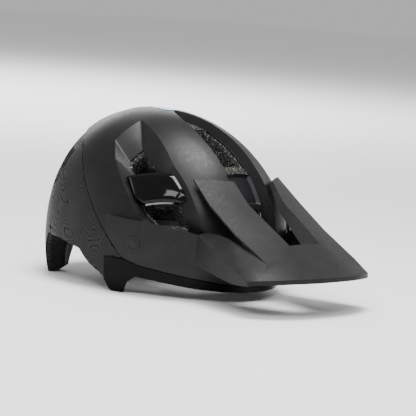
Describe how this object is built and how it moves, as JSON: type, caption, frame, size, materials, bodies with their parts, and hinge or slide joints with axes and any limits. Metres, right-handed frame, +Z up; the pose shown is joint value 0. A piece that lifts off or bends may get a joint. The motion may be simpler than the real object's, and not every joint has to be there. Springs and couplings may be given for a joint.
{
  "type": "mountain-bike helmet",
  "caption": "Open-face mountain-bike helmet with vented two-tone shell, foam liner, tilting visor, pads, straps and a dial-adjusted head cradle.",
  "frame": {"origin": "centre of the bounding box's bottom face, on the surface the helmet stands on", "axes": "+Z up, -Y the front (visor), +X the wearer's left"},
  "size_m": [0.214, 0.3666, 0.1794],
  "materials": {
    "shell": "satin matte black polycarbonate",
    "shell_textured": "matte dark graphite with fine contour lines",
    "visor": "fine-grain matte black",
    "gloss": "gloss black",
    "foam": "black expanded polystyrene with visible beads",
    "sky": "printed film",
    "pad": "brushed fabric over foam",
    "gel": "soft elastomer",
    "webbing": "woven webbing"
  },
  "bodies": {
    "helmet": {"eps_liner": "foam", "main_shell": "shell", "rear_shell": "shell_textured", "lower_wrap": "gloss", "vent_bridge_left": "gloss", "vent_bridge_right": "gloss", "crown_decal": "sky", "pivot_studs": "gloss", "brow_pad": "pad", "crown_pad": "pad", "side_pads": "pad", "rear_pads": "pad", "hook_dots": "webbing", "damping_discs": "gel", "strap_anchors": "gloss", "straps_left": "webbing", "straps_right": "webbing", "chin_strap_left": "webbing", "chin_strap_right": "webbing", "divider_left": "gloss", "divider_right": "gloss", "buckle_female": "gloss", "buckle_male": "gloss", "chin_pad": "pad", "height_rail": "gloss"},
    "visor": {"visor": "visor", "pivot_caps": "visor"},
    "cradle": {"cradle": "gloss", "cradle_pad": "pad", "dial_housing": "gloss", "height_strap": "gloss"},
    "dial": {"dial_knob": "shell", "dial_pinion": "gloss"},
    "left_band": {"headband_left": "gloss"},
    "right_band": {"headband_right": "gloss"},
    "left_lever": {"lever_left": "gloss"},
    "right_lever": {"lever_right": "gloss"},
    "button": {"buckle_button": "gloss"}
  },
  "joints": [
    {"name": "visor_tilt", "type": "hinge", "parent": "helmet", "child": "visor", "pos_m": [0, -0.0053, 0.052], "axis": [-1, 0, 0], "range_deg": [0, 12]},
    {"name": "cradle_height", "type": "slide", "parent": "helmet", "child": "cradle", "axis": [0, 0, 1], "range_m": [-0.012, 0]},
    {"name": "fit_dial", "type": "hinge", "parent": "cradle", "child": "dial", "pos_m": [0, 0.1255, 0.032], "axis": [0, 1, 0], "range_deg": [0, 95]},
    {"name": "left_band_slide", "type": "slide", "parent": "cradle", "child": "left_band", "axis": [-1, 0, 0], "range_m": [0, 0.01]},
    {"name": "right_band_slide", "type": "slide", "parent": "cradle", "child": "right_band", "axis": [1, 0, 0], "range_m": [0, 0.01]},
    {"name": "left_lever_hinge", "type": "hinge", "parent": "helmet", "child": "left_lever", "pos_m": [0.07092, 0.07792, 0.07415], "axis": [-0.0649, 0.9978, 0.0088], "range_deg": [0, 55]},
    {"name": "right_lever_hinge", "type": "hinge", "parent": "helmet", "child": "right_lever", "pos_m": [-0.07092, 0.07792, 0.07415], "axis": [-0.0649, -0.9978, -0.0088], "range_deg": [0, 55]},
    {"name": "buckle_release", "type": "slide", "parent": "helmet", "child": "button", "axis": [0.4362, 0.8451, 0.309], "range_m": [0, 0.0018], "stiffness_N_per_m": 600}
  ],
  "couplings": [
    {"joint": "left_band_slide", "follows": "fit_dial", "m_per_rad": 0.006},
    {"joint": "right_band_slide", "follows": "fit_dial", "m_per_rad": 0.006}
  ]
}
